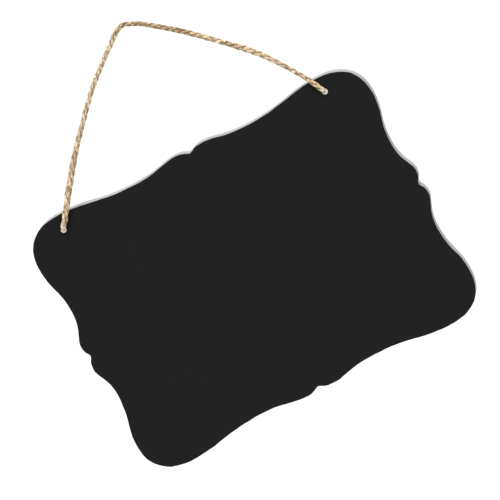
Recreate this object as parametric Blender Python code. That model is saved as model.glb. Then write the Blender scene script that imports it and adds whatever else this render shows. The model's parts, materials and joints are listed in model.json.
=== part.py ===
# Wall chalkboard: a bracket-shaped plaque that hangs by a jute cord.
# It stands upright and level, with +X to the right seen from the front, +Z up and its front towards -Y.
# The origin is where a nail or hook bears, under the middle of the cord's loop.
# The loop swings about the line through the two hole mouths, which is parallel to X.

import math

import bmesh
import bpy
import numpy as np
from mathutils import Vector

# Driving dimensions, in metres
BOARD_WIDTH = 0.203
BOARD_HEIGHT = 0.1498
CORE_THICKNESS = 0.0095
CORE_EDGE_RADIUS = 0.0004
FACE_THICKNESS = 0.0006
FACE_EDGE_RADIUS = 0.00015
BOND_GAP = 0.0003
HOLE_INSET = 0.02245
HOLE_DROP = 0.0083
CORD_DIAMETER = 0.0028
HOLE_CLEARANCE = 0.0003
CORD_CLEARANCE = 0.0003
LOOP_RISE = 0.0821
CUT_OVERRUN = 0.002
WELD_DISTANCE = 0.000001

# Counts
OUTLINE_STEPS = 10
EDGE_SEGMENTS = 2
HOLE_SIDES = 32
CORD_BEVEL_STEPS = 2
SPLINE_READINGS = 40

# Spacing of the rings along the cord, as shares of its diameter
loop_step_share = 1.5
knot_step_share = 0.4

# A quarter of the outline, from the notch at the side to the notch at the top. Each row gives a point
# as shares of the half width and the half height, then how far its handles reach before and after it.
# Along the side the handles are upright, and their reach is a share of the half height
side_outline_shares = [
    (0.979, 0.000, 0.029, 0.029),
    (1.000, 0.096, 0.069, 0.053),
    (0.953, 0.338, 0.131, 0.202),
    (0.995, 0.726, 0.172, 0.195),
]
# Along the top the handles are level, and their reach is a share of the half width
top_outline_shares = [
    (0.773, 1.000, 0.123, 0.176),
    (0.339, 0.936, 0.209, 0.152),
    (0.080, 0.979, 0.083, 0.051),
    (0.000, 0.951, 0.014, 0.014),
]

# Half of the loop, from the top of its bend down to the right hole: sideways as a share of half the
# hole spacing, and height above the holes as a share of the loop's rise
loop_route_shares = [
    (0.000, 1.000),
    (0.040, 0.993),
    (0.080, 0.969),
    (0.163, 0.911),
    (0.244, 0.850),
    (0.325, 0.786),
    (0.407, 0.714),
    (0.488, 0.638),
    (0.570, 0.557),
    (0.650, 0.474),
    (0.732, 0.383),
    (0.813, 0.284),
    (0.880, 0.194),
    (0.940, 0.102),
    (1.000, 0.000),
]

# Half of the overhand knot, in cord diameters, from its middle towards the tail: sideways, away from
# the board, and down. The other half is this one given a half turn about the knot's own upright line
knot_route_shares = [
    (0.00, 0.00, 1.20),
    (0.55, -0.63, 1.15),
    (0.97, -1.22, 0.78),
    (1.16, -1.57, 0.03),
    (0.95, -1.62, -0.73),
    (0.34, -1.34, -1.20),
    (-0.32, -0.82, -1.27),
    (-0.66, -0.25, -1.03),
    (-0.66, 0.31, -0.56),
    (-0.31, 0.72, -0.13),
    (0.00, 1.22, 0.00),
]
# The tail, on from there: it turns down and hangs behind the board
tail_route_shares = [
    (0.12, 1.60, 0.22),
    (0.30, 1.80, 0.75),
    (0.40, 1.78, 1.50),
    (0.40, 1.70, 2.30),
    (0.35, 1.65, 3.10),
    (0.30, 1.65, 3.80),
]
# How far the knot reaches towards the board from its middle, to the cord's centreline
knot_reach_share = 1.66
# Where the standing part is held straight between the knot and the board's back, from the knot's middle
neck_share = 1.95

# Places worked out from the sizes above
cord_radius = CORD_DIAMETER / 2
hole_radius = cord_radius + HOLE_CLEARANCE
half_spacing = BOARD_WIDTH / 2 - HOLE_INSET
half_height = BOARD_HEIGHT / 2
apex_z = cord_radius
hole_z = apex_z - LOOP_RISE
board_z = hole_z + HOLE_DROP - half_height
face_front_y = cord_radius + CORD_CLEARANCE
core_front_y = face_front_y + FACE_THICKNESS + BOND_GAP
core_back_y = core_front_y + CORE_THICKNESS
knot_y = core_back_y + CORD_CLEARANCE + cord_radius + knot_reach_share * CORD_DIAMETER


def clear_scene():
    for obj in list(bpy.data.objects):
        bpy.data.objects.remove(obj, do_unlink=True)


def new_collection(name):
    collection = bpy.data.collections.new(name)
    bpy.context.scene.collection.children.link(collection)
    return collection


def new_material(name, colour, roughness):
    material = bpy.data.materials.new(name)
    material.use_nodes = True
    shader = material.node_tree.nodes["Principled BSDF"]
    shader.inputs["Base Color"].default_value = (*colour, 1)
    shader.inputs["Roughness"].default_value = roughness
    shader.inputs["Metallic"].default_value = 0
    return material


def quarter_outline():
    # Each entry is a point with its handle before and its handle after, in the board's own plane
    half_width = BOARD_WIDTH / 2
    quarter = []
    for across, up, before, after in side_outline_shares:
        point = Vector((across * half_width, up * half_height, 0))
        rise = Vector((0, half_height, 0))
        quarter.append((point, point - rise * before, point + rise * after))
    for across, up, before, after in top_outline_shares:
        point = Vector((across * half_width, up * half_height, 0))
        inward = Vector((-half_width, 0, 0))
        quarter.append((point, point - inward * before, point + inward * after))
    return quarter


def mirrored(points, across, up):
    flip = Vector((across, up, 1))
    return [tuple(place * flip for place in entry) for entry in points]


def turned_round(points):
    return [(point, after, before) for point, before, after in reversed(points)]


def board_outline():
    quarter = quarter_outline()
    outline = list(quarter)
    outline += turned_round(mirrored(quarter[:-1], -1, 1))
    outline += mirrored(quarter[1:], -1, -1)
    outline += turned_round(mirrored(quarter[1:-1], 1, -1))
    return outline


def outline_curve(name, thickness):
    curve = bpy.data.curves.new(name, "CURVE")
    curve.dimensions = "2D"
    curve.fill_mode = "BOTH"
    curve.extrude = thickness / 2
    curve.resolution_u = OUTLINE_STEPS
    outline = board_outline()
    spline = curve.splines.new("BEZIER")
    spline.bezier_points.add(len(outline) - 1)
    spline.use_cyclic_u = True
    for knot, (point, before, after) in zip(spline.bezier_points, outline):
        knot.handle_left_type = "FREE"
        knot.handle_right_type = "FREE"
        knot.co = point
        knot.handle_left = before
        knot.handle_right = after
    return curve


def mesh_from_curve(curve_object, collection):
    # A curve's caps are loose, so they are welded on before anything is cut
    graph = bpy.context.evaluated_depsgraph_get()
    mesh = bpy.data.meshes.new_from_object(curve_object.evaluated_get(graph))
    shape = bmesh.new()
    shape.from_mesh(mesh)
    bmesh.ops.remove_doubles(shape, verts=shape.verts, dist=WELD_DISTANCE)
    shape.to_mesh(mesh)
    shape.free()
    obj = bpy.data.objects.new(curve_object.name, mesh)
    obj.matrix_world = curve_object.matrix_world
    name = curve_object.name
    bpy.data.objects.remove(curve_object, do_unlink=True)
    obj.name = name
    collection.objects.link(obj)
    return obj


def round_rim(obj, level, radius):
    # Rounds the rim that lies at this level of the plate's own thickness
    shape = bmesh.new()
    shape.from_mesh(obj.data)
    for side in (-1, 1):
        cap = [face for face in shape.faces if face.normal.z * side > math.cos(math.radians(10))]
        bmesh.ops.dissolve_faces(shape, faces=cap)
    rim = []
    for edge in shape.edges:
        if all(abs(vert.co.z - level) < WELD_DISTANCE for vert in edge.verts):
            rim.append(edge)
    bmesh.ops.bevel(shape, geom=rim, offset=radius, segments=EDGE_SEGMENTS, profile=0.5,
                    affect="EDGES", clamp_overlap=True)
    bmesh.ops.recalc_face_normals(shape, faces=shape.faces)
    shape.to_mesh(obj.data)
    shape.free()


def add_plate(name, thickness, front_y, rim_side, rim_radius, material, collection):
    curve = outline_curve(name, thickness)
    curve_object = bpy.data.objects.new(name, curve)
    curve_object.location = (0, front_y + thickness / 2, board_z)
    curve_object.rotation_euler = (math.radians(90), 0, 0)
    collection.objects.link(curve_object)
    bpy.context.view_layer.update()
    plate = mesh_from_curve(curve_object, collection)
    round_rim(plate, rim_side * thickness / 2, rim_radius)
    plate.data.materials.clear()
    plate.data.materials.append(material)
    return plate


def add_hole_cutter(name, x, collection):
    depth = core_back_y - face_front_y + 2 * CUT_OVERRUN
    bpy.ops.mesh.primitive_cylinder_add(
        vertices=HOLE_SIDES,
        radius=hole_radius,
        depth=depth,
        location=(x, (face_front_y + core_back_y) / 2, hole_z),
        rotation=(math.radians(90), 0, 0),
    )
    cutter = bpy.context.active_object
    cutter.name = name
    cutter.hide_render = True
    cutter.display_type = "WIRE"
    for other in list(cutter.users_collection):
        other.objects.unlink(cutter)
    collection.objects.link(cutter)
    return cutter


def cut_holes(plate, cutters):
    for cutter in cutters:
        cut = plate.modifiers.new(cutter.name, "BOOLEAN")
        cut.operation = "DIFFERENCE"
        cut.solver = "EXACT"
        cut.object = cutter
    plate.data.shade_smooth()
    plate.data.set_sharp_from_angle(angle=math.radians(30))


def smooth_route(points, step):
    # A natural cubic spline through the points, read again at even steps along its length
    places = np.array([tuple(point) for point in points])
    gaps = np.linalg.norm(np.diff(places, axis=0), axis=1)
    last = len(places) - 1
    matrix = np.eye(last + 1)
    right = np.zeros((last + 1, 3))
    for i in range(1, last):
        matrix[i, i - 1:i + 2] = gaps[i - 1], 2 * (gaps[i - 1] + gaps[i]), gaps[i]
        ahead = (places[i + 1] - places[i]) / gaps[i]
        behind = (places[i] - places[i - 1]) / gaps[i - 1]
        right[i] = 6 * (ahead - behind)
    bend = np.linalg.solve(matrix, right)
    fine = []
    for i in range(last):
        gap = gaps[i]
        for reading in range(SPLINE_READINGS):
            on = gap * reading / SPLINE_READINGS
            left = gap - on
            curved = (bend[i] * left ** 3 + bend[i + 1] * on ** 3) / (6 * gap)
            start = (places[i] / gap - bend[i] * gap / 6) * left
            end = (places[i + 1] / gap - bend[i + 1] * gap / 6) * on
            fine.append(curved + start + end)
    fine.append(places[last])
    fine = np.array(fine)
    along = np.concatenate([[0], np.cumsum(np.linalg.norm(np.diff(fine, axis=0), axis=1))])
    count = max(2, round(along[-1] / step))
    even = np.linspace(0, along[-1], count + 1)
    return np.stack([np.interp(even, along, fine[:, axis]) for axis in range(3)], axis=1)


def route_length(route):
    return float(np.linalg.norm(np.diff(route, axis=0), axis=1).sum())


def least_gap(route, reach):
    # The smallest clear distance between stretches of the cord that lie further apart than reach
    step = route_length(route) / (len(route) - 1)
    skip = math.ceil(reach / step)
    apart = [
        np.linalg.norm(route[i + skip:] - route[i], axis=1).min()
        for i in range(len(route) - skip)
    ]
    return float(min(apart)) - CORD_DIAMETER


def add_cord(name, route, material, collection):
    curve = bpy.data.curves.new(name, "CURVE")
    curve.dimensions = "3D"
    curve.bevel_depth = cord_radius
    curve.bevel_resolution = CORD_BEVEL_STEPS
    curve.use_fill_caps = True
    spline = curve.splines.new("POLY")
    spline.points.add(len(route) - 1)
    for point, place in zip(spline.points, route):
        point.co = (*place, 1)
    curve.materials.append(material)
    cord = bpy.data.objects.new(name, curve)
    collection.objects.link(cord)
    return cord


def loop_route():
    half = [
        Vector((across * half_spacing, 0, hole_z + up * LOOP_RISE))
        for across, up in loop_route_shares
    ]
    left = [Vector((-point.x, point.y, point.z)) for point in reversed(half[1:])]
    return smooth_route(left + half, loop_step_share * CORD_DIAMETER)


def knot_place(side, shares):
    across, away, down = shares
    x = side * (half_spacing + across * CORD_DIAMETER)
    y = knot_y + away * CORD_DIAMETER
    z = hole_z - down * CORD_DIAMETER
    return Vector((x, y, z))


def cord_end_route(side):
    # From the front of the hole, through the board and the overhand knot, to the end of the tail
    hole_x = side * half_spacing
    through = [
        Vector((hole_x, face_front_y, hole_z)),
        Vector((hole_x, (face_front_y + core_back_y) / 2, hole_z)),
        Vector((hole_x, core_back_y, hole_z)),
        knot_place(side, (0, -neck_share, 0)),
    ]
    far_half = [knot_place(side, shares) for shares in knot_route_shares]
    near_half = [
        knot_place(side, (-across, -away, down))
        for across, away, down in reversed(knot_route_shares[1:])
    ]
    tail = [knot_place(side, shares) for shares in tail_route_shares]
    return smooth_route(through + near_half + far_half + tail, knot_step_share * CORD_DIAMETER)


def build():
    clear_scene()
    parts = new_collection("wall_chalkboard")
    cutters = new_collection("cutters")

    pale_board = new_material("pale_painted_mdf", (0.55, 0.55, 0.54), 0.6)
    chalk_black = new_material("chalkboard_black", (0.017, 0.017, 0.017), 0.85)
    jute = new_material("jute", (0.56, 0.44, 0.30), 0.9)

    core = add_plate(
        "board_core", CORE_THICKNESS, core_front_y, -1, CORE_EDGE_RADIUS, pale_board, parts
    )
    face = add_plate(
        "chalkboard_face", FACE_THICKNESS, face_front_y, 1, FACE_EDGE_RADIUS, chalk_black, parts
    )
    holes = [
        add_hole_cutter("hole_left", -half_spacing, cutters),
        add_hole_cutter("hole_right", half_spacing, cutters),
    ]
    cut_holes(core, holes)
    cut_holes(face, holes)

    loop = loop_route()
    add_cord("hanging_cord", loop, jute, parts)
    print("loop length", round(route_length(loop), 4))

    for word, side in (("left", -1), ("right", 1)):
        end = cord_end_route(side)
        add_cord("cord_end_" + word, end, jute, parts)
        gap = least_gap(end, 2 * CORD_DIAMETER)
        print("cord end", word, "length", round(route_length(end), 4), "least gap", round(gap, 5))


build()
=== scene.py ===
import json
import math

import bmesh
import bpy
import numpy as np
from mathutils import Matrix, Vector


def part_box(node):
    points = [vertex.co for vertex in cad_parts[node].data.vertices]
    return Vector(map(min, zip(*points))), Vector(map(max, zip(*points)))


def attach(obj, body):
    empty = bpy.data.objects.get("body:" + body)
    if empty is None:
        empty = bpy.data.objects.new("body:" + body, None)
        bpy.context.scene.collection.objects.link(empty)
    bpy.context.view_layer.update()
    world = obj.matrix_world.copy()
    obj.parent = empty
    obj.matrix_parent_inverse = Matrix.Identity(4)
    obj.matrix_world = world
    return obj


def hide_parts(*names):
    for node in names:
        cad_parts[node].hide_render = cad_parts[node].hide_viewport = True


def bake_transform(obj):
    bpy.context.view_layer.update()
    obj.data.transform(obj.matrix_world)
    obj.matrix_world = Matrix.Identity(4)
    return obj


# The looks of a wall chalkboard that hangs by a jute cord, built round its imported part
# Metres, +Z up, +X to the right seen from the front, and the front towards -Y

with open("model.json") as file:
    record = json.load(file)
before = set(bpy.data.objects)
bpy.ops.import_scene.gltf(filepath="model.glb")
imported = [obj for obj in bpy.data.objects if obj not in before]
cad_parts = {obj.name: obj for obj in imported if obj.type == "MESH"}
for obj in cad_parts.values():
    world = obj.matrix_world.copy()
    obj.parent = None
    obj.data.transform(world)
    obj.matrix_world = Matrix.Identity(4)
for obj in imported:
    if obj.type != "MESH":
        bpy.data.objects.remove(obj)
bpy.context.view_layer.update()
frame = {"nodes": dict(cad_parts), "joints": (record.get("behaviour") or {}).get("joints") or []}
coreLow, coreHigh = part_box("board_core")
faceLow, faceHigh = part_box("chalkboard_face")
hinge = Vector(frame["joints"][0]["pos_m"])  # the line through the two hole mouths
boardCentre = (coreLow + coreHigh) / 2
halfWidth = (coreHigh.x - coreLow.x) / 2
halfHeight = (coreHigh.z - coreLow.z) / 2
holeInset = 0.02245  # from the board's sides to the holes' axes
holeX = halfWidth - holeInset
print("frame loaded:", len(frame["nodes"]), "nodes")


# Shared tools for lines and meshes

def unit(vectors):
    return vectors / np.linalg.norm(vectors, axis=-1, keepdims=True)


def smoothStep(share):
    return share * share * (3 - 2 * share)


def roundTurns(count):
    # Even turns round a circle
    return np.linspace(0, 2 * math.pi, count, endpoint=False)


def lengthsAlong(line):
    # How far along the line each of its points lies
    return np.concatenate([[0], np.cumsum(np.linalg.norm(np.diff(line, axis=0), axis=1))])


def readLine(wanted, places, line):
    # The line at the wanted places, from the places of its own points
    return np.stack([np.interp(wanted, places, line[:, axis]) for axis in range(line.shape[1])], axis=1)


def bandFaces(near, far, count):
    # The faces between two rings of points, from the number of each ring's first point
    return [(near + i, near + (i + 1) % count, far + (i + 1) % count, far + i) for i in range(count)]


def linkMesh(name, mesh, *materials):
    for material in materials:
        mesh.materials.append(material)
    piece = bpy.data.objects.new(name, mesh)
    bpy.context.scene.collection.objects.link(piece)
    return piece


# Shared tools for materials

mixSockets = {"first": 6, "second": 7, "out": 2}    # where a mix node keeps its colours


def newMaterial(name):
    material = bpy.data.materials.new(name)
    material.use_nodes = True
    return material, material.node_tree


def setInputs(tree, node, values):
    # Each input is given as a value, or as a socket of another node
    for socket, value in values.items():
        if isinstance(value, bpy.types.NodeSocket):
            tree.links.new(value, node.inputs[socket])
        else:
            node.inputs[socket].default_value = value


def addNode(tree, kind, values=None, **settings):
    node = tree.nodes.new(kind)
    for word, value in settings.items():
        setattr(node, word, value)
    setInputs(tree, node, values or {})
    return node


def setShader(tree, colour, roughness, specular=0.5, normal=None):
    values = {"Base Color": colour, "Roughness": roughness, "Specular IOR Level": specular}
    if normal is not None:
        values["Normal"] = normal
    setInputs(tree, tree.nodes["Principled BSDF"], values)


def objectPlace(tree):
    return addNode(tree, "ShaderNodeTexCoord").outputs["Object"]


def noiseNode(tree, place, scale, detail, roughness):
    values = {"Vector": place, "Scale": scale, "Detail": detail, "Roughness": roughness}
    return addNode(tree, "ShaderNodeTexNoise", values).outputs["Fac"]


def rangeNode(tree, value, low, high, toLow=0.0, toHigh=1.0):
    values = {"Value": value, "From Min": low, "From Max": high, "To Min": toLow, "To Max": toHigh}
    return addNode(tree, "ShaderNodeMapRange", values, clamp=True).outputs["Result"]


def mathNode(tree, operation, first, second):
    node = addNode(tree, "ShaderNodeMath", {0: first, 1: second}, operation=operation)
    return node.outputs["Value"]


def mixNode(tree, share, first, second, blend="MIX"):
    # Each colour is a socket of another node, or its red, green and blue
    values = {"Factor": share}
    for which, colour in (("first", first), ("second", second)):
        values[mixSockets[which]] = colour if isinstance(colour, bpy.types.NodeSocket) else (*colour, 1)
    node = addNode(tree, "ShaderNodeMix", values, data_type="RGBA", blend_type=blend)
    return node.outputs[mixSockets["out"]]


def rampNode(tree, value, stops):
    node = addNode(tree, "ShaderNodeValToRGB", {"Fac": value})
    ramp = node.color_ramp
    while len(ramp.elements) < len(stops):
        ramp.elements.new(0.5)
    for element, (place, colour) in zip(ramp.elements, stops):
        element.position = place
        element.color = (*colour, 1)
    return node.outputs["Color"]


def bumpNode(tree, height, distance, strength):
    values = {"Height": height, "Distance": distance, "Strength": strength}
    return addNode(tree, "ShaderNodeBump", values).outputs["Normal"]


# Camera, light and floor

cameraLook = {
    "turn": 8.0,             # degrees round to the board's right
    "lift": 7.3,             # degrees above the board's level line
    "roll": 28.84,           # the board's own tilt in the picture, in degrees
    "distance": 5.0,
    "farthest": 100.0,       # what lies beyond this isn't seen
    "sensor": 36.0,          # millimetres, as the camera's own settings have it
    "pictureSide": 500,      # pixels
    "boardPixel": (254.1, 270.2),
    "pixelPitch": 0.0005305,  # metres of board that one pixel shows
}

lightLook = {
    "world": 0.95,
    # Each lamp's name, its strength, where it shines from, and its width in degrees, for soft shadows
    "lamps": [
        ("key", 2.4, (0.12, -0.55, 0.95), 25),
        ("rim", 1.3, (0.45, 0.60, 0.75), 25),
    ],
}

floorLook = {
    "drop": 4.0,             # below the board's lowest point, so that low views clear it too
    "side": 140.0,
    "colour": (0.58, 0.58, 0.575),
    "roughness": 0.9,
}


def addCamera(look):
    turn, lift, roll = (math.radians(look[word]) for word in ("turn", "lift", "roll"))
    away = Vector((math.sin(turn) * math.cos(lift), -math.cos(turn) * math.cos(lift), math.sin(lift)))
    level = Vector((math.cos(turn), math.sin(turn), 0))
    upright = away.cross(level)
    right = level * math.cos(roll) - upright * math.sin(roll)
    up = level * math.sin(roll) + upright * math.cos(roll)
    middle = look["pictureSide"] / 2
    acrossPixels, downPixels = (pixel - middle for pixel in look["boardPixel"])
    boardFront = Vector((boardCentre.x, faceLow.y, boardCentre.z))
    aim = boardFront - right * acrossPixels * look["pixelPitch"] + up * downPixels * look["pixelPitch"]
    camera = bpy.data.objects.new("camera", bpy.data.cameras.new("camera"))
    viewSide = look["pictureSide"] * look["pixelPitch"]
    camera.data.sensor_width = look["sensor"]
    camera.data.lens = look["sensor"] * look["distance"] / viewSide
    camera.data.clip_end = look["farthest"]
    turned = Matrix((right, up, away)).transposed().to_4x4()
    camera.matrix_world = Matrix.Translation(aim + away * look["distance"]) @ turned
    bpy.context.scene.collection.objects.link(camera)
    bpy.context.scene.camera = camera


def addLight(look):
    world = bpy.data.worlds.new("studio")
    world.use_nodes = True
    values = {"Color": (1, 1, 1, 1), "Strength": look["world"]}
    setInputs(world.node_tree, world.node_tree.nodes["Background"], values)
    bpy.context.scene.world = world
    for name, strength, shinesFrom, width in look["lamps"]:
        lamp = bpy.data.objects.new(name, bpy.data.lights.new(name, "SUN"))
        lamp.data.energy = strength
        lamp.data.angle = math.radians(width)
        lamp.rotation_mode = "QUATERNION"
        lamp.rotation_quaternion = Vector(shinesFrom).to_track_quat("Z", "Y")
        bpy.context.scene.collection.objects.link(lamp)
    bpy.context.scene.view_settings.view_transform = "Standard"


def addFloor(look):
    half = look["side"] / 2
    level = coreLow.z - look["drop"]
    mesh = bpy.data.meshes.new("floor")
    corners = [(-half, -half, level), (half, -half, level), (half, half, level), (-half, half, level)]
    mesh.from_pydata(corners, [], [(0, 1, 2, 3)])
    material, tree = newMaterial("floor")
    setShader(tree, (*look["colour"], 1), look["roughness"])
    floor = linkMesh("floor", mesh, material)


addCamera(cameraLook)
addLight(lightLook)
addFloor(floorLook)
print("camera, light and floor")


# The board: its outline, in shares of its half width and half height

outlineShape = {
    # A quarter, from the notch at the side to the notch at the top. A row is a point, and how far its
    # handles reach before and after it. The side's handles are upright, and the top's are level
    "side": [
        (0.979, 0.000, 0.029, 0.029), (1.000, 0.096, 0.069, 0.053),
        (0.953, 0.338, 0.131, 0.202), (0.995, 0.726, 0.172, 0.195),
    ],
    "top": [
        (0.773, 1.000, 0.123, 0.176), (0.339, 0.936, 0.209, 0.152),
        (0.080, 0.979, 0.083, 0.051), (0.000, 0.951, 0.014, 0.014),
    ],
    "bezierSteps": 60,
    "pointSpacing": 0.00045,
}


def boardOutline(look):
    # The whole outline as even points across and up from the board's centre, and the way out at each
    quarter = []
    for stretch, handle in (("side", np.array([0, halfHeight])), ("top", np.array([-halfWidth, 0]))):
        for across, up, before, after in look[stretch]:
            point = np.array([across, up]) * np.array([halfWidth, halfHeight])
            quarter.append((point, point - handle * before, point + handle * after))

    def mirrored(points, across, up):
        return [tuple(place * np.array([across, up]) for place in entry) for entry in points]

    def turnedRound(points):
        return [(point, after, before) for point, before, after in reversed(points)]

    knots = list(quarter)
    knots += turnedRound(mirrored(quarter[:-1], -1, 1))
    knots += mirrored(quarter[1:], -1, -1)
    knots += turnedRound(mirrored(quarter[1:-1], 1, -1))
    share = np.linspace(0, 1, look["bezierSteps"], endpoint=False)[:, None]
    rest = 1 - share
    fine = []
    for (start, _, leave), (end, arrive, _) in zip(knots, knots[1:] + knots[:1]):
        fine.append(rest ** 3 * start + 3 * rest ** 2 * share * leave + 3 * rest * share ** 2 * arrive
                    + share ** 3 * end)
    fine = np.concatenate(fine + [fine[0][:1]])
    along = lengthsAlong(fine)
    count = round(along[-1] / look["pointSpacing"])
    points = readLine(np.linspace(0, along[-1], count, endpoint=False), along, fine)
    ahead = np.roll(points, -1, axis=0) - np.roll(points, 1, axis=0)
    return points, unit(np.stack([ahead[:, 1], -ahead[:, 0]], axis=1))


def roundNoise(rng, count, cells):
    # Smooth noise from -1 to 1 that closes round on itself
    values = rng.uniform(-1, 1, cells)
    place = np.arange(count) / count * cells
    left = np.floor(place).astype(int) % cells
    share = smoothStep(place - np.floor(place))
    return values[left] * (1 - share) + values[(left + 1) % cells] * share


def edgeNoise(rng, outline, length):
    # The same for each point of the outline, with a change over about so many metres
    return roundNoise(rng, len(outline), round(len(outline) * outlineShape["pointSpacing"] / length))


def arcProfile(radius, start, sign, steps):
    # A quarter-round rim: how far in from the side and where through the thickness, from the cap inwards
    turns = [math.pi / 2 * i / steps for i in range(steps + 1)]
    return [(radius * (1 - math.sin(turn)), start + sign * radius * (1 - math.cos(turn))) for turn in turns]


def plateMesh(name, outline, outward, profile, holeProfile, look):
    # A plate with two round holes. Its side follows the profile's rows from front to back: each is an
    # inset (one value, or one for each point of the outline) and a place through the thickness
    shape = bmesh.new()

    def addRings(rings, slot):
        rows = [[shape.verts.new(point) for point in ring] for ring in rings]
        for near, far in zip(rows, rows[1:]):
            for i in range(len(near)):
                j = (i + 1) % len(near)
                face = shape.faces.new((near[i], near[j], far[j], far[i]))
                face.smooth = True
                face.material_index = slot
        return rows[0], rows[-1]

    outer = []
    for inset, level in profile:
        flat = outline - outward * np.reshape(inset, (-1, 1))
        outer.append([(boardCentre.x + across, level, boardCentre.z + up) for across, up in flat])
    ends = [addRings(outer, 0)]
    turns = roundTurns(look["holeSides"])
    for side in (-1, 1):
        rings = []
        for grow, level in holeProfile:
            radius = look["holeRadius"] + grow
            rings.append([(side * holeX + radius * math.cos(turn), level, hinge.z + radius * math.sin(turn))
                          for turn in turns])
        ends.append(addRings(rings, 1))
    for which, facing in ((0, -1), (1, 1)):
        rim = []
        for end in ends:
            row = end[which]
            rim += [shape.edges.get((row[i], row[(i + 1) % len(row)])) for i in range(len(row))]
        for edge in rim:
            edge.smooth = False
        bmesh.ops.triangle_fill(shape, edges=rim, use_beauty=True, normal=(0, facing, 0))
    bmesh.ops.recalc_face_normals(shape, faces=shape.faces)
    mesh = bpy.data.meshes.new(name)
    shape.to_mesh(mesh)
    shape.free()
    return mesh


boardLook = {
    "holeRadius": 0.0017,
    "holeSides": 64,
    "frontRim": 0.0001,
    "frontRimSteps": 2,
    "backRim": 0.0004,
    "backRimSteps": 5,
    "faceRim": 0.00015,
    "faceRimSteps": 4,
    "faceHoleSteps": 3,
    "faceInset": 0.00006,      # the black sheet stops this far short of the board's own edge
    "faceWobble": 0.00015,     # how far its cut edge strays from that
    "faceWobbleLength": 0.0045,
    "faceNick": 0.00007,       # and how far its small nicks go
    "faceNickLength": 0.0016,
    "bondInset": 0.00035,
    "bondWobble": 0.00008,
    "bondHole": 0.000175,      # the bond line stays back from the holes by this much
    "edgeRows": 9,
    "edgeRoughness": 0.00002,
    "edgeGrain": 0.0012,
    "seed": 5,
}


def coreMesh(outline, outward, look):
    rng = np.random.default_rng(look["seed"])
    front = arcProfile(look["frontRim"], coreLow.y, 1, look["frontRimSteps"])
    back = arcProfile(look["backRim"], coreHigh.y, -1, look["backRimSteps"])[::-1]
    sideRows = np.linspace(front[-1][1], back[0][1], look["edgeRows"] + 2)[1:-1]
    side = [(look["edgeRoughness"] * (1 + edgeNoise(rng, outline, look["edgeGrain"])), level)
            for level in sideRows]
    holes = [(look["frontRim"], coreLow.y), (0, coreLow.y + look["frontRim"])]
    holes += [(0, level) for level in sideRows]
    holes += [(0, coreHigh.y - look["frontRim"]), (look["frontRim"], coreHigh.y)]
    return plateMesh("core", outline, outward, front + side + back, holes, look)


def faceMesh(outline, outward, look):
    rng = np.random.default_rng(look["seed"] + 1)
    wobble = look["faceInset"] + look["faceWobble"] * edgeNoise(rng, outline, look["faceWobbleLength"])
    wobble += look["faceNick"] * edgeNoise(rng, outline, look["faceNickLength"])
    front = arcProfile(look["faceRim"], faceLow.y, 1, look["faceRimSteps"])
    rim = [(inset + wobble, level) for inset, level in front] + [(wobble, faceHigh.y)]
    holes = arcProfile(look["faceRim"], faceLow.y, 1, look["faceHoleSteps"]) + [(0, faceHigh.y)]
    return plateMesh("chalkFace", outline, outward, rim, holes, look)


def bondMesh(outline, outward, look):
    rng = np.random.default_rng(look["seed"] + 2)
    inset = look["bondInset"] + look["bondWobble"] * edgeNoise(rng, outline, look["faceWobbleLength"])
    levels = (faceHigh.y, coreLow.y)
    rim = [(inset, level) for level in levels]
    holes = [(look["bondHole"], level) for level in levels]
    return plateMesh("bondLine", outline, outward, rim, holes, look)


# The board's finishes. A pattern is a noise: its waves to the metre, its detail and its roughness.
# A range holds the noise's values between which the finish changes

chalkLook = {
    "black": (0.0067, 0.0067, 0.0068),
    "worn": (0.0077, 0.0077, 0.0078),
    "wear": (30.0, 5.0, 0.6),
    "wearRange": (0.35, 0.7),
    "grain": (1 / 0.00022, 3.0, 0.6),
    "grainRange": (0.3, 0.7),
    "grainDepth": 0.00002,
    "bumpStrength": 0.6,
    "roughness": (0.84, 0.96),     # over the grain's range
    "specular": 0.14,
}

paintLook = {
    "pale": (0.334, 0.334, 0.332),
    "shade": (0.302, 0.302, 0.298),
    "clouds": (60.0, 3.0, 0.5),
    "cloudRange": (0.35, 0.68),
    "speck": (0.25, 0.246, 0.238),
    "specks": (900.0, 1.0, 0.5),
    "speckRange": (0.70, 0.78),
    "thin": (0.82, 0.82, 0.82),    # painted shade: the paint darkens towards the front, in place of light that wraps round the back edge
    "fibres": (1 / 0.0006, 4.0, 0.6),
    "fibreDepth": 0.00003,
    "bumpStrength": 0.7,
    "roughness": 0.7,
    "specular": 0.3,
}

fibreboardLook = {
    "pale": (0.72, 0.705, 0.68),
    "shade": (0.56, 0.535, 0.50),
    "grain": (1 / 0.0004, 3.0, 0.65),
    "grainRange": (0.35, 0.65),
    "grainDepth": 0.00004,
    "bumpStrength": 0.8,
    "roughness": 0.9,
}

glueLook = {
    "thick": (0.036, 0.0348, 0.033),
    "thin": (0.06, 0.058, 0.055),
    "patches": (700.0, 2.0, 0.5),
    "roughness": 0.5,
}


def chalkMaterial(look):
    material, tree = newMaterial("chalkboardBlack")
    place = objectPlace(tree)
    grain = noiseNode(tree, place, *look["grain"])
    wear = rangeNode(tree, noiseNode(tree, place, *look["wear"]), *look["wearRange"])
    colour = mixNode(tree, wear, look["black"], look["worn"])
    roughness = rangeNode(tree, grain, *look["grainRange"], *look["roughness"])
    bump = bumpNode(tree, grain, look["grainDepth"], look["bumpStrength"])
    setShader(tree, colour, roughness, look["specular"], bump)
    return material


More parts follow.
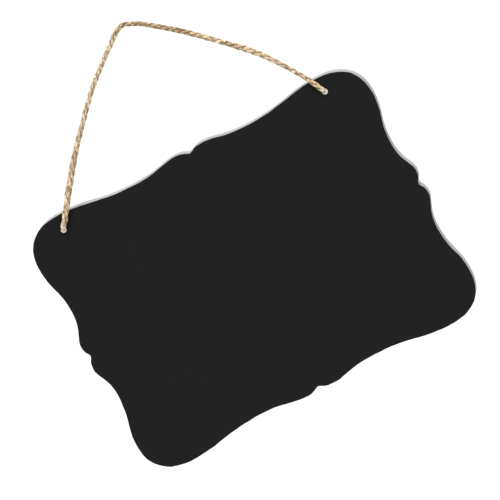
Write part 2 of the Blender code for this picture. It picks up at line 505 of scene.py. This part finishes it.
def paintMaterial(look):
    material, tree = newMaterial("paleBoardPaint")
    place = objectPlace(tree)
    fibre = noiseNode(tree, place, *look["fibres"])
    cloud = rangeNode(tree, noiseNode(tree, place, *look["clouds"]), *look["cloudRange"])
    speck = rangeNode(tree, noiseNode(tree, place, *look["specks"]), *look["speckRange"])
    colour = mixNode(tree, cloud, look["pale"], look["shade"])
    colour = mixNode(tree, speck, colour, look["speck"])
    # Painted shade through the thickness: darker towards the front and paler towards the back, in place of
    # light wrapping round the back edge
    depth = addNode(tree, "ShaderNodeSeparateXYZ", {"Vector": place}).outputs["Y"]
    frontShadeShare = rangeNode(tree, depth, coreHigh.y, coreLow.y)
    colour = mixNode(tree, frontShadeShare, colour, mixNode(tree, 1.0, colour, look["thin"], "MULTIPLY"))
    bump = bumpNode(tree, fibre, look["fibreDepth"], look["bumpStrength"])
    setShader(tree, colour, look["roughness"], look["specular"], bump)
    return material


def fibreboardMaterial(look):
    material, tree = newMaterial("bareFibreboard")
    grain = noiseNode(tree, objectPlace(tree), *look["grain"])
    colour = mixNode(tree, rangeNode(tree, grain, *look["grainRange"]), look["shade"], look["pale"])
    bump = bumpNode(tree, grain, look["grainDepth"], look["bumpStrength"])
    setShader(tree, colour, look["roughness"], normal=bump)
    return material


def glueMaterial(look):
    material, tree = newMaterial("glue")
    patches = noiseNode(tree, objectPlace(tree), *look["patches"])
    setShader(tree, mixNode(tree, patches, look["thick"], look["thin"]), look["roughness"])
    return material


outline, outward = boardOutline(outlineShape)
paint = paintMaterial(paintLook)
bareFibreboard = fibreboardMaterial(fibreboardLook)
chalkBlack = chalkMaterial(chalkLook)
glue = glueMaterial(glueLook)
# Each piece has the finish of its outside, then that of its holes' walls
core = linkMesh("core", coreMesh(outline, outward, boardLook), paint, bareFibreboard)
chalkFace = linkMesh("chalkFace", faceMesh(outline, outward, boardLook), chalkBlack, chalkBlack)
bondLine = linkMesh("bondLine", bondMesh(outline, outward, boardLook), glue, glue)
for piece, slot in ((core, "pale_board"), (chalkFace, "chalkboard_black"), (bondLine, "pale_board")):
    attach(piece, "board")
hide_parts("board_core")
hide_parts("chalkboard_face")
print("board:", len(outline), "points round its outline")


# The cord: one length of three-ply jute, from the left tail through both knots to the right tail

cordShape = {
    "diameter": 0.0028,
    "elbowRadius": 0.0018,    # where the cord turns into a hole
    "pastElbow": 1.05,        # elbow radii behind a mouth where the stretch through the board takes over
    "seamDepth": 0.0006,      # behind the face's front, where the loop's mesh meets the ends' meshes
    "ringStep": 0.00033,
    "nearPlane": 0.0009,      # a mouth is where the line comes this near the loop's plane
    "inPlane": 0.00001,       # and nearer than this it lies in that plane
    # Half of the loop, as the part has it: shares of half the hole spacing and of the loop's rise
    "loop": [
        (0.000, 1.000), (0.040, 0.993), (0.080, 0.969), (0.163, 0.911), (0.244, 0.850),
        (0.325, 0.786), (0.407, 0.714), (0.488, 0.638), (0.570, 0.557), (0.650, 0.474),
        (0.732, 0.383), (0.813, 0.284), (0.880, 0.194), (0.940, 0.102), (1.000, 0.000),
    ],
    # Half of a knot and its tail, in cord diameters: sideways, away from the board, and down
    "knot": [
        (0.00, 0.00, 1.20), (0.55, -0.63, 1.15), (0.97, -1.22, 0.78), (1.16, -1.57, 0.03),
        (0.95, -1.62, -0.73), (0.34, -1.34, -1.20), (-0.32, -0.82, -1.27), (-0.66, -0.25, -1.03),
        (-0.66, 0.31, -0.56), (-0.31, 0.72, -0.13), (0.00, 1.22, 0.00),
    ],
    "tail": [
        (0.12, 1.60, 0.22), (0.30, 1.80, 0.75), (0.40, 1.78, 1.50),
        (0.40, 1.70, 2.30), (0.35, 1.65, 3.10), (0.30, 1.65, 3.80),
    ],
    "knotReach": 1.66,
    "neck": 1.95,
    "clearance": 0.0003,
    # Across and up, the way the loop pulls the cord over in the left and the right hole
    "pullWay": {-1: (-0.12, 0.99), 1: (-0.45, 0.89)},
}
diameter = cordShape["diameter"]
rise = diameter / 2 - hinge.z
knotY = coreHigh.y + cordShape["clearance"] + diameter * (0.5 + cordShape["knotReach"])


def lineLength(line):
    return float(lengthsAlong(line)[-1])


def smoothLine(points, readings=40):
    # A natural cubic spline through the points, read in fine steps
    places = np.array([tuple(point) for point in points], float)
    gaps = np.linalg.norm(np.diff(places, axis=0), axis=1)
    last = len(gaps)
    matrix = np.eye(last + 1)
    right = np.zeros((last + 1, 3))
    for i in range(1, last):
        matrix[i, i - 1:i + 2] = gaps[i - 1], 2 * (gaps[i - 1] + gaps[i]), gaps[i]
        ahead = (places[i + 1] - places[i]) / gaps[i]
        behind = (places[i] - places[i - 1]) / gaps[i - 1]
        right[i] = 6 * (ahead - behind)
    bend = np.linalg.solve(matrix, right)
    share = np.linspace(0, 1, readings, endpoint=False)[:, None]
    fine = []
    for i, gap in enumerate(gaps):
        on, left = share * gap, (1 - share) * gap
        curved = (bend[i] * left ** 3 + bend[i + 1] * on ** 3) / (6 * gap)
        start = (places[i] / gap - bend[i] * gap / 6) * left
        end = (places[i + 1] / gap - bend[i + 1] * gap / 6) * on
        fine.append(curved + start + end)
    fine.append(places[-1:])
    return np.concatenate(fine)


def evenLine(line, step):
    along = lengthsAlong(line)
    return readLine(np.linspace(0, along[-1], round(along[-1] / step) + 1), along, line)


def loopLine():
    half = [(across * holeX, 0, hinge.z + up * rise) for across, up in cordShape["loop"]]
    left = [(-x, y, z) for x, y, z in reversed(half[1:])]
    return smoothLine(left + half)


def endLine(side):
    # From the front of a hole, through the board and the knot, to the end of the tail
    def knotPlace(across, away, down):
        return (side * (holeX + across * diameter), knotY + away * diameter, hinge.z - down * diameter)

    through = [
        (side * holeX, faceLow.y, hinge.z),
        (side * holeX, (faceLow.y + coreHigh.y) / 2, hinge.z),
        (side * holeX, coreHigh.y, hinge.z),
        knotPlace(0, -cordShape["neck"], 0),
    ]
    nearHalf = [knotPlace(-across, -away, down) for across, away, down in reversed(cordShape["knot"][1:])]
    farHalf = [knotPlace(*shares) for shares in cordShape["knot"]]
    tail = [knotPlace(*shares) for shares in cordShape["tail"]]
    return smoothLine(through + nearHalf + farHalf + tail)


def elbow(corner, arriving, leaving, radius, steps=24):
    centre = corner - arriving * radius + leaving * radius
    turn = np.linspace(0, math.pi / 2, steps)[:, None]
    return centre + radius * (arriving * np.sin(turn) - leaving * np.cos(turn))


def wholeCordLine():
    # The whole centreline in even steps, from the end of the left tail to the end of the right one
    radius = cordShape["elbowRadius"]
    loop = loopLine()
    inward = np.array([0, 1, 0])
    fromLeft = np.linalg.norm(loop - loop[0], axis=1) > radius
    fromRight = np.linalg.norm(loop - loop[-1], axis=1) > radius
    middle = loop[fromLeft & fromRight]
    leftElbow = elbow(loop[0], unit(loop[0] - loop[1]), inward, radius)[::-1]
    rightElbow = elbow(loop[-1], unit(loop[-1] - loop[-2]), inward, radius)
    leftEnd, rightEnd = endLine(-1), endLine(1)
    leftEnd = leftEnd[leftEnd[:, 1] > radius * cordShape["pastElbow"]][::-1]
    rightEnd = rightEnd[rightEnd[:, 1] > radius * cordShape["pastElbow"]]
    stretches = [leftEnd, leftElbow, middle, rightElbow, rightEnd]
    return evenLine(np.concatenate(stretches), cordShape["ringStep"])


cordLine = wholeCordLine()
print("cord centreline:", round(lineLength(cordLine), 4), "m")


# How the cord varies. Places are metres along the loop from the left hole's mouth; the ends lie
# before zero and past the right mouth

cordLook = {
    "plyShare": 0.330,         # a ply's radius, as a share of the cord's diameter
    "offsetShare": 0.165,      # its centre's distance from the cord's own line
    "gap": 0.00001,            # left between plies where they press on each other
    "around": 32,              # corners round each ply
    "fibreTurn": 1.5,          # turns of the fibres back against each turn of the plies
    "plyShift": 700,           # millimetres that each ply's pattern is moved along, so that none repeats
    "lay": [
        (-0.065, 0.0120), (0.010, 0.0158), (0.045, 0.0155), (0.080, 0.0130), (0.110, 0.0100),
        (0.145, 0.0102), (0.175, 0.0130), (0.200, 0.0150), (0.225, 0.0145), (0.296, 0.0120),
    ],
    "swell": [
        (-0.065, 1.00), (-0.052, 1.12), (-0.014, 1.10), (0.001, 1.04), (0.012, 1.23), (0.024, 1.38),
        (0.050, 1.12), (0.070, 1.01), (0.112, 1.08), (0.122, 0.94), (0.152, 1.10), (0.168, 1.06),
        (0.183, 1.22), (0.210, 0.94), (0.222, 0.97), (0.232, 0.97), (0.245, 1.08), (0.283, 1.12),
        (0.296, 1.00),
    ],
    # At both mouths alike, from inside the hole outwards: the pull of the loop holds the cord
    # against the hole's rim on the loop's side, and presses it thin
    "pulled": [(-0.020, 0.0000), (-0.011, 0.00065), (0.001, 0.00065), (0.006, 0.0000)],
    "squeeze": [(-0.016, 1.00), (-0.011, 0.66), (-0.0006, 0.68), (0.0014, 1.00)],
    # Painted highlight at both mouths: the cord is paled where the hole's shade falls on it, and its
    # painted groove shade is lifted there
    "mouthHighlight": [(-0.010, 0.00), (-0.004, 0.50), (-0.0005, 0.50), (0.0020, 0.00)],
    "tone": [                  # 0 is dark and 1 is pale
        (-0.065, 0.48), (0.030, 0.49), (0.080, 0.54), (0.100, 0.64), (0.110, 0.54), (0.121, 0.32),
        (0.145, 0.34), (0.175, 0.54), (0.296, 0.48),
    ],
    "shade": [                 # painted shade in the grooves between the plies: how dark it is
        (-0.065, 0.60), (0.015, 0.60), (0.080, 0.62), (0.102, 0.70), (0.114, 1.00), (0.140, 1.05),
        (0.175, 0.75), (0.296, 0.60),
    ],
    "shadeLeast": 0.25,        # the share of that in the palest patch of a groove
    "shadePatches": 2.0,       # and what the darkest patch adds to it
    "shadeLength": 0.0024,
    "grooveFrom": 0.775,       # how far out on a ply its groove ends, as a share of the cord's radius
    "grooveTo": 0.92,
    "wander": [                # out from the loop's own line, in its plane
        (-0.009, 0.0000), (-0.001, -0.0002), (0.006, -0.0008), (0.016, -0.0017), (0.030, -0.0021),
        (0.060, -0.0021), (0.077, -0.0017), (0.100, -0.0017), (0.111, -0.0014), (0.120, 0.0003),
        (0.127, 0.0012), (0.145, 0.0012), (0.165, 0.0014), (0.190, 0.0022), (0.205, 0.0016),
        (0.217, 0.0012), (0.231, 0.0004), (0.240, 0.0000),
    ],
    "ridges": [(5, 0.009, 0.060), (11, 0.006, 0.050)],   # how many round a ply, their length, their height
    "plyWander": 0.07,
    "plyWanderLength": 0.007,
    "toneWander": 0.05,
    "mottle": [(3, 0.0021, 0.06), (6, 0.0009, 0.24)],    # patches round a ply, their length, their weight
    "seed": 11,
}

fuzzLook = {
    "perMetre": 4200,
    "length": (0.0015, 0.0065),
    "radius": (0.000009, 0.000020),
    "tip": 0.5,                # how thick a fibre's tip is, as a share of its root
    "rise": (0.00003, 0.00050),
    "archedShare": 0.4,        # the fibres that rise at their middle, and not at their tip
    "seat": 0.475,             # where they lie, out from the cord's line in cord diameters
    "wind": 0.5,               # radians that they wind round the cord, more or less
    "clear": 0.0003,           # how far from the board's back and from its face they start
    "tones": (0.3, 1.0),
    "fibreStep": 0.4,          # how far the material's pattern moves on from ring to ring
    "points": 7,
    # Loose fibres at each cut end
    "frayCount": 70,
    "frayLength": (0.0012, 0.0042),
    "frayReach": 0.42,         # how far out their roots lie, in cord diameters
    "frayDepth": 0.0008,       # and how deep inside the cord
    "fraySpread": 0.45,
    "frayBend": 0.35,
    "frayCurl": 0.6,
    "seed": 23,
}


def steadyNoise(rng, around, count, turn, place):
    # Smooth noise from 0 to 1 on a strip that closes round on itself; place counts along it
    grid = rng.random((count + 2, around))
    across = (turn / (2 * math.pi) * around) % around
    left = np.floor(across).astype(int) % around
    right = (left + 1) % around
    row = np.clip(np.floor(place).astype(int), 0, count)
    shareAcross = smoothStep(across - np.floor(across))
    shareAlong = smoothStep(np.clip(place - row, 0, 1))
    near = grid[row, left] * (1 - shareAcross) + grid[row, right] * shareAcross
    far = grid[row + 1, left] * (1 - shareAcross) + grid[row + 1, right] * shareAcross
    return near * (1 - shareAlong) + far * shareAlong


def eased(table, places):
    # Values of a table of (place, value) rows, with smooth steps between the rows
    rows = np.array(table)
    index = np.clip(np.searchsorted(rows[:, 0], places) - 1, 0, len(rows) - 2)
    share = np.clip((places - rows[index, 0]) / (rows[index + 1, 0] - rows[index, 0]), 0, 1)
    share = smoothStep(share)
    return rows[index, 1] * (1 - share) + rows[index + 1, 1] * share


def steadyFrames(line, aside=(0.3, 1.0, 0.2), straight=1e-18):
    # Across and upright directions that turn with the line but never twist round it. Aside is a
    # direction that the line doesn't start along, and a bend below straight counts as none
    ahead = unit(np.gradient(line, axis=0))
    across = np.zeros_like(line)
    across[0] = unit(np.cross(ahead[0], aside))
    for i in range(1, len(line)):
        step = line[i] - line[i - 1]
        long = step @ step
        seen = across[i - 1] - 2 / long * (step @ across[i - 1]) * step
        tilted = ahead[i - 1] - 2 / long * (step @ ahead[i - 1]) * step
        change = ahead[i] - tilted
        square = change @ change
        turned = seen - 2 / square * (change @ seen) * change if square > straight else seen
        turned = turned - (turned @ ahead[i]) * ahead[i]
        across[i] = turned / np.linalg.norm(turned)
    return ahead, across, np.cross(ahead, across)


def cordPlaces(line):
    # Metres along from the left mouth for each point, and the same for the right mouth
    along = lengthsAlong(line)
    near = np.where(line[:, 1] < cordShape["nearPlane"])[0]
    return along - along[near[0]], along[near[-1]] - along[near[0]]


def fromMouth(places, reach):
    # Metres out of the nearer hole's mouth, and below zero inside the hole
    return np.minimum(places, reach - places)


def wanderedLine(line, places, reach):
    # The line as the real cord strays from it: in the loop's plane, and over to one side in the holes
    ahead = unit(np.gradient(line, axis=0))
    outward = np.stack([-ahead[:, 2], np.zeros(len(line)), ahead[:, 0]], axis=1)
    flat = np.where(np.abs(line[:, 1]) < cordShape["inPlane"])[0]
    outward[:flat[0]] = outward[flat[0]]
    outward[flat[-1]:] = outward[flat[-1]]
    moved = line + unit(outward) * eased(cordLook["wander"], places)[:, None]
    pulled = eased(cordLook["pulled"], fromMouth(places, reach))
    for side, (across, up) in cordShape["pullWay"].items():
        here = pulled * (np.sign(line[:, 0]) == side)
        moved[:, 0] += here * across
        moved[:, 2] += here * up
    return moved


def cordSwell(places, reach):
    return eased(cordLook["swell"], places) * eased(cordLook["squeeze"], fromMouth(places, reach))


def plyBundle(line, frames, places, swell, paintedHighlight, look):
    # Every corner of the three plies: its place, its fibre coordinates, and its tone and painted groove
    # shade
    rng = np.random.default_rng(look["seed"])
    _, across, upright = frames
    turns = np.cumsum(np.gradient(places) / eased(look["lay"], places))
    theta = roundTurns(look["around"])[None, :]
    alongRows = places - places[0]
    wedge = math.pi / 3    # half of a ply's share of the full round

    def rowNoise(length):
        # From 0 to 1, the same all round a ply
        count = math.ceil(alongRows[-1] / length)
        return steadyNoise(rng, 1, count, np.zeros(len(line)), alongRows / length)

    def patchNoise(around, length, fibreTurn):
        # From -1 to 1, in patches that follow the fibres
        count = math.ceil(alongRows[-1] / length)
        place = np.broadcast_to((alongRows / length)[:, None], fibreTurn.shape)
        return 2 * steadyNoise(rng, around, count, fibreTurn, place) - 1

    corners, fibres, tones = [], [], []
    for ply in range(3):
        phase = (-2 * math.pi * turns + ply * 2 * math.pi / 3)[:, None]
        fibreTurn = theta - look["fibreTurn"] * 2 * math.pi * turns[:, None]
        thick = rowNoise(look["plyWanderLength"])
        radius = look["plyShare"] * diameter * swell * (1 + look["plyWander"] * (2 * thick - 1))
        height = np.zeros(fibreTurn.shape)
        for around, length, share in look["ridges"]:
            height += share * patchNoise(around, length, fibreTurn)
        reach = radius[:, None] * (1 + height)
        offset = (look["offsetShare"] * diameter * swell)[:, None]
        out = offset + reach * np.cos(theta)
        side = reach * np.sin(theta)
        for sign in (1, -1):
            # A ply presses flat on the plane it shares with its neighbour
            beyond = -out * math.sin(wedge) + sign * side * math.cos(wedge) + look["gap"]
            beyond = np.maximum(beyond, 0)
            out = out + beyond * math.sin(wedge)
            side = side - sign * beyond * math.cos(wedge)
        first = out * np.cos(phase) - side * np.sin(phase)
        second = out * np.sin(phase) + side * np.cos(phase)
        corners.append(line[:, None, :] + first[..., None] * across[:, None, :]
                       + second[..., None] * upright[:, None, :])
        # The fibre coordinates count millimetres along the cord
        along = np.broadcast_to(alongRows[:, None] * 1000 + look["plyShift"] * ply, fibreTurn.shape)
        fibres.append(np.stack([np.cos(fibreTurn), np.sin(fibreTurn), along], axis=-1))
        outer = (look["plyShare"] + look["offsetShare"]) * diameter * swell[:, None]
        # Painted shade: the colour darkens deeper in the grooves between the plies
        depth = (look["grooveTo"] - np.hypot(out, side) / outer) / (look["grooveTo"] - look["grooveFrom"])
        patchy = look["shadeLeast"] + look["shadePatches"] * rowNoise(look["shadeLength"]) ** 2
        # At the mouths the painted highlight lifts the painted groove shade and pales the tone
        shade = eased(look["shade"], places) * patchy * (1 - paintedHighlight)
        groove = np.clip(np.clip(depth, 0, 1) * shade[:, None], 0, 1)
        tone = (eased(look["tone"], places) + paintedHighlight + look["toneWander"] * (2 * thick - 1))[:, None]
        for around, length, weight in look["mottle"]:
            tone = tone + weight * patchNoise(around, length, fibreTurn)
        tones.append(np.stack([tone, groove], axis=-1))
    return np.array(corners), np.array(fibres), np.array(tones)


def bundleMesh(name, corners, fibres, tones):
    # Three closed tubes from rows of corners, each end closed by a fan round a middle corner
    plies, rows, around, _ = corners.shape
    points, coords, shades, faces = [], [], [], []
    for ply in range(plies):
        base = len(points)
        points.extend(map(tuple, corners[ply].reshape(-1, 3)))
        coords.extend(map(tuple, fibres[ply].reshape(-1, 3)))
        shades.extend(map(tuple, tones[ply].reshape(-1, 2)))
        for row in range(rows - 1):
            faces += bandFaces(base + row * around, base + (row + 1) * around, around)
        for row in (0, rows - 1):
            middle = len(points)
            points.append(tuple(corners[ply, row].mean(axis=0)))
            coords.append(tuple(fibres[ply, row].mean(axis=0)))
            shades.append(tuple(tones[ply, row].mean(axis=0)))
            here = base + row * around
            for j in range(around):
                pair = (here + j, here + (j + 1) % around)
                faces.append((middle, *pair[::-1]) if row == 0 else (middle, *pair))
    return fibreMesh(name, points, coords, shades, faces)


def fibreMesh(name, points, coords, shades, faces):
    mesh = bpy.data.meshes.new(name)
    mesh.from_pydata(points, [], faces)
    mesh.shade_smooth()
    coords = np.array(coords, np.float32)
    mesh.attributes.new("fibre", "FLOAT_VECTOR", "POINT").data.foreach_set("vector", coords.ravel())
    for word, values in zip(("tone", "groove"), np.array(shades, np.float32).T):
        mesh.attributes.new(word, "FLOAT", "POINT").data.foreach_set("value", values.copy())
    return mesh


def hairPoints(rng, line, frames, swell, look, low, high):
    # One loose fibre along the cord between two rows: it lies on the surface and lifts at its tip or middle
    steps = np.linspace(0, 1, look["points"])
    reach = rng.uniform(*look["length"]) / cordShape["ringStep"] * rng.choice((-1, 1))
    rows = np.clip(rng.uniform(low, high) + reach * steps, low, high)
    turn = rng.uniform(0, 2 * math.pi) + rng.normal(0, look["wind"]) * steps
    rise = rng.uniform(*look["rise"])
    lift = rise * (np.sin(math.pi * steps) if rng.random() < look["archedShare"] else steps ** 2)
    index = np.arange(len(line))
    radius = diameter * look["seat"] * np.interp(rows, index, swell) + lift
    centre, across, upright = (readLine(rows, index, table) for table in (line, frames[1], frames[2]))
    return centre + radius[:, None] * (np.cos(turn)[:, None] * across + np.sin(turn)[:, None] * upright)


def frayPoints(rng, line, frames, row, away, look):
    # One loose fibre out of a cut end, with a spread that grows towards its tip
    steps = np.linspace(0, 1, look["points"])[:, None]
    ahead, across, upright = (table[row] for table in frames)
    turn = rng.uniform(0, 2 * math.pi)
    out = np.cos(turn) * across + np.sin(turn) * upright
    start = line[row] + out * diameter * look["frayReach"] * math.sqrt(rng.random())
    start = start - ahead * away * look["frayDepth"]
    bend = rng.normal(0, look["frayBend"], 3)
    heading = ahead * away + out * rng.uniform(0, look["fraySpread"])
    length = rng.uniform(*look["frayLength"])
    return start + length * (heading * steps + bend * steps ** 2 * look["frayCurl"])


def fuzzMesh(name, rng, strands, look):
    # Fine three-sided tubes, thinner towards their tips
    points, coords, shades, faces = [], [], [], []
    for strand in strands:
        _, across, upright = steadyFrames(strand)
        thick = rng.uniform(*look["radius"]) * np.linspace(1, look["tip"], len(strand))
        tone = rng.uniform(*look["tones"])
        base = len(points)
        for i, centre in enumerate(strand):
            for turn in (0, 2 * math.pi / 3, 4 * math.pi / 3):
                corner = centre + thick[i] * (math.cos(turn) * across[i] + math.sin(turn) * upright[i])
                points.append(tuple(corner))
                coords.append((math.cos(turn), math.sin(turn), base + i * look["fibreStep"]))
                shades.append((tone, 0.0))
        for i in range(len(strand) - 1):
            faces += bandFaces(base + 3 * i, base + 3 * (i + 1), 3)
        last = len(points) - 3
        faces += [(base + 2, base + 1, base), (last, last + 1, last + 2)]
    return fibreMesh(name, points, coords, shades, faces)


juteLook = {
    # the colour of the painted shade in the grooves
    "dark": (0.060, 0.032, 0.012),
    "ramp": [                  # where brown, straw and pale stand
        (0.385, (0.160, 0.097, 0.048)),
        (0.490, (0.428, 0.316, 0.199)),
        (0.610, (0.775, 0.677, 0.540)),
    ],
    "peach": (1.05, 0.95, 1.00),
    "olive": (0.93, 1.00, 0.94),
    "gold": (1.06, 1.00, 0.84),
    "roughness": 0.8,
    "specular": 0.25,
    "toneMiddle": 0.5,         # the tone that leaves the colours as they are
    "toneReach": 0.30,         # how far the tone moves the colours
    # How fine each pattern is round a ply and along it, and its weight
    "streaks": [(4.5, 0.45, 0.26), (2.6, 0.45, 0.46), (1.1, 1.00, 0.28)],
    "streakDetail": 3.0,
    "streakDepth": 0.00006,
    "reliefDetail": 4.0,
    "bumpStrength": 0.8,
    "hueScale": (0.9, 0.35),
    "hueRange": (0.38, 0.62),
    "goldScale": (0.7, 0.22),
    "goldRange": (0.46, 0.62),
    "hueDetail": 1.0,
    "noiseRoughness": 0.6,
}


def juteMaterial(look):
    material, tree = newMaterial("jute")
    fibre, tone, groove = (
        addNode(tree, "ShaderNodeAttribute", attribute_name=word).outputs[socket]
        for word, socket in (("fibre", "Vector"), ("tone", "Fac"), ("groove", "Fac"))
    )

    def fibreNoise(roundScale, alongScale, detail):
        scale = (roundScale, roundScale, alongScale)
        place = addNode(tree, "ShaderNodeMapping", {"Vector": fibre, "Scale": scale}).outputs["Vector"]
        return noiseNode(tree, place, 1.0, detail, look["noiseRoughness"])

    mixed = mathNode(tree, "SUBTRACT", tone, look["toneMiddle"])
    mixed = mathNode(tree, "MULTIPLY", mixed, look["toneReach"])
    for roundScale, alongScale, weight in look["streaks"]:
        streak = fibreNoise(roundScale, alongScale, look["streakDetail"])
        mixed = mathNode(tree, "ADD", mixed, mathNode(tree, "MULTIPLY", streak, weight))
    colour = rampNode(tree, mixed, look["ramp"])
    hue = rangeNode(tree, fibreNoise(*look["hueScale"], look["hueDetail"]), *look["hueRange"])
    tint = mixNode(tree, hue, look["olive"], look["peach"])
    golden = rangeNode(tree, fibreNoise(*look["goldScale"], look["hueDetail"]), *look["goldRange"])
    tint = mixNode(tree, golden, tint, look["gold"])
    colour = mixNode(tree, 1.0, colour, tint, "MULTIPLY")
    # Painted shade in the grooves between the plies
    colour = mixNode(tree, groove, colour, look["dark"])
    relief = fibreNoise(*look["streaks"][0][:2], look["reliefDetail"])
    bump = bumpNode(tree, relief, look["streakDepth"], look["bumpStrength"])
    setShader(tree, colour, look["roughness"], look["specular"], bump)
    return material


places, loopReach = cordPlaces(cordLine)
cordLine = wanderedLine(cordLine, places, loopReach)
swell = cordSwell(places, loopReach)
frames = steadyFrames(cordLine)
# Painted highlight near both mouths, against the hole's shade on the cord
paintedHighlight = eased(cordLook["mouthHighlight"], fromMouth(places, loopReach))
corners, fibres, tones = plyBundle(cordLine, frames, places, swell, paintedHighlight, cordLook)
seamY = faceLow.y + cordShape["seamDepth"]
loopRows = np.where(cordLine[:, 1] < seamY)[0]
firstRow, lastRow = loopRows[0], loopRows[-1]
jute = juteMaterial(juteLook)
stretches = {
    "cordEndLeft": slice(0, firstRow + 1),
    "cordLoop": slice(firstRow, lastRow + 1),
    "cordEndRight": slice(lastRow, len(cordLine)),
}
cordPieces = {}
for name, rows in stretches.items():
    mesh = bundleMesh(name, corners[:, rows], fibres[:, rows], tones[:, rows])
    cordPieces[name] = linkMesh(name, mesh, jute)
print("cord plies:", sum(len(piece.data.vertices) for piece in cordPieces.values()), "corners")

# Loose fibres, on the stretches that aren't inside a hole
rng = np.random.default_rng(fuzzLook["seed"])
behind = cordLine[:, 1] > coreHigh.y + fuzzLook["clear"]
leftBehind = np.argmin(behind)
rightBehind = len(behind) - np.argmin(behind[::-1])
inFront = np.where(cordLine[:, 1] < faceLow.y - fuzzLook["clear"])[0]
lastPoint = len(cordLine) - 1
fuzzRows = {
    "fuzzEndLeft": (0, leftBehind - 1),
    "fuzzLoop": (inFront[0], inFront[-1]),
    "fuzzEndRight": (rightBehind, lastPoint),
}
cutEnds = {"fuzzEndLeft": (0, -1), "fuzzEndRight": (lastPoint, 1)}    # each end's row, and its way out
fuzzPieces = {}
for name, (low, high) in fuzzRows.items():
    count = round((places[high] - places[low]) * fuzzLook["perMetre"])
    strands = [hairPoints(rng, cordLine, frames, swell, fuzzLook, low, high) for _ in range(count)]
    if name in cutEnds:
        strands += [frayPoints(rng, cordLine, frames, *cutEnds[name], fuzzLook)
                    for _ in range(fuzzLook["frayCount"])]
    fuzzPieces[name] = linkMesh(name, fuzzMesh(name, rng, strands, fuzzLook), jute)
perStrand = 3 * fuzzLook["points"]
print("loose fibres:", {name: len(piece.data.vertices) // perStrand for name, piece in fuzzPieces.items()})

# The torn rim of bare board that the drill left in each hole: it closes on the cord, which is held off
# towards the loop, so it is widest on the other side

burrLook = {
    "outer": 0.00152,       # its front edge stays clear of the black sheet's hole
    "wall": 0.00169,        # and further back it joins the board's hole
    "narrow": 0.00008,      # how narrow it may be
    "snug": 0.00003,        # left between its lip and the cord
    "proud": 0.00005,       # its crest stands up to this far in front of the black sheet
    "slope": 0.00030,       # how far back it slopes from there to its lip, about
    "depth": 0.0010,
    "wallDepth": 0.0013,
    # Shares of the way in from its outer edge to its lip: the crest, and its underside behind the lip
    "crestIn": 0.12,
    "backIn": 0.65,
    # The slope's rings: the same share, and shares of the slope and of the ragged part
    "slopeRings": [(0.45, 0.25, -0.5), (0.88, 0.70, 0.5), (1.00, 1.20, 1.0)],
    "ragged": 0.00007,
    "raggedLength": 0.0007,
    "corners": 96,
    "seed": 31,
}


def burrMesh(look):
    rng = np.random.default_rng(look["seed"])
    count = look["corners"]
    cells = round(2 * math.pi * look["outer"] / look["raggedLength"])
    turn = roundTurns(count)
    inHole = cordShape["elbowRadius"] / 2          # metres back from a mouth
    pulled = float(eased(cordLook["pulled"], np.array([-inHole]))[0])
    points, faces = [], []
    for side, mouth in ((-1, 0), (1, loopReach)):
        pullAcross, pullUp = cordShape["pullWay"][side]
        facing = np.cos(turn) * pullAcross + np.sin(turn) * pullUp
        away = (1 - facing) / 2
        thick = float(cordSwell(np.array([mouth + side * inHole]), loopReach)[0]) * diameter / 2
        nearCord = pulled * facing + np.sqrt(thick ** 2 - pulled ** 2 * (1 - facing ** 2))
        torn = look["ragged"] * roundNoise(rng, count, cells) * away
        crest = look["proud"] * (1 + roundNoise(rng, count, cells)) / 2
        inner = np.minimum(nearCord + look["snug"] + torn, look["outer"] - look["narrow"])
        width = look["outer"] - inner
        rings = [
            (np.full(count, look["outer"]), np.full(count, look["proud"])),
            (look["outer"] - width * look["crestIn"], -crest),
        ]
        for share, down, ragged in look["slopeRings"]:
            rings.append((look["outer"] - width * share, look["slope"] * down + torn * ragged))
        rings.append((look["outer"] - width * look["backIn"], np.full(count, look["depth"])))
        rings.append((np.full(count, look["wall"]), np.full(count, look["wallDepth"])))
        base = len(points)
        for radius, back in rings:
            across, up = radius * np.cos(turn), radius * np.sin(turn)
            points += zip(side * holeX + across, faceLow.y + back, hinge.z + up)
        for row in range(len(rings)):
            faces += bandFaces(base + row * count, base + (row + 1) % len(rings) * count, count)
    mesh = bpy.data.meshes.new("holeBurr")
    mesh.from_pydata([tuple(map(float, point)) for point in points], [], faces)
    mesh.shade_smooth()
    return mesh


holeBurr = linkMesh("holeBurr", burrMesh(burrLook), bareFibreboard)
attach(holeBurr, "board")
print("torn rims of the holes")

# The cord's ends and their loose fibres go with the board, the loop and its fibres keep their place, and
# the part's own cord is hidden
for piece in (cordPieces["cordEndLeft"], cordPieces["cordEndRight"],
              fuzzPieces["fuzzEndLeft"], fuzzPieces["fuzzEndRight"]):
    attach(piece, "board")
for piece in (cordPieces["cordLoop"], fuzzPieces["fuzzLoop"]):
    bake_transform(piece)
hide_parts("hanging_cord")
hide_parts("cord_end_left")
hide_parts("cord_end_right")
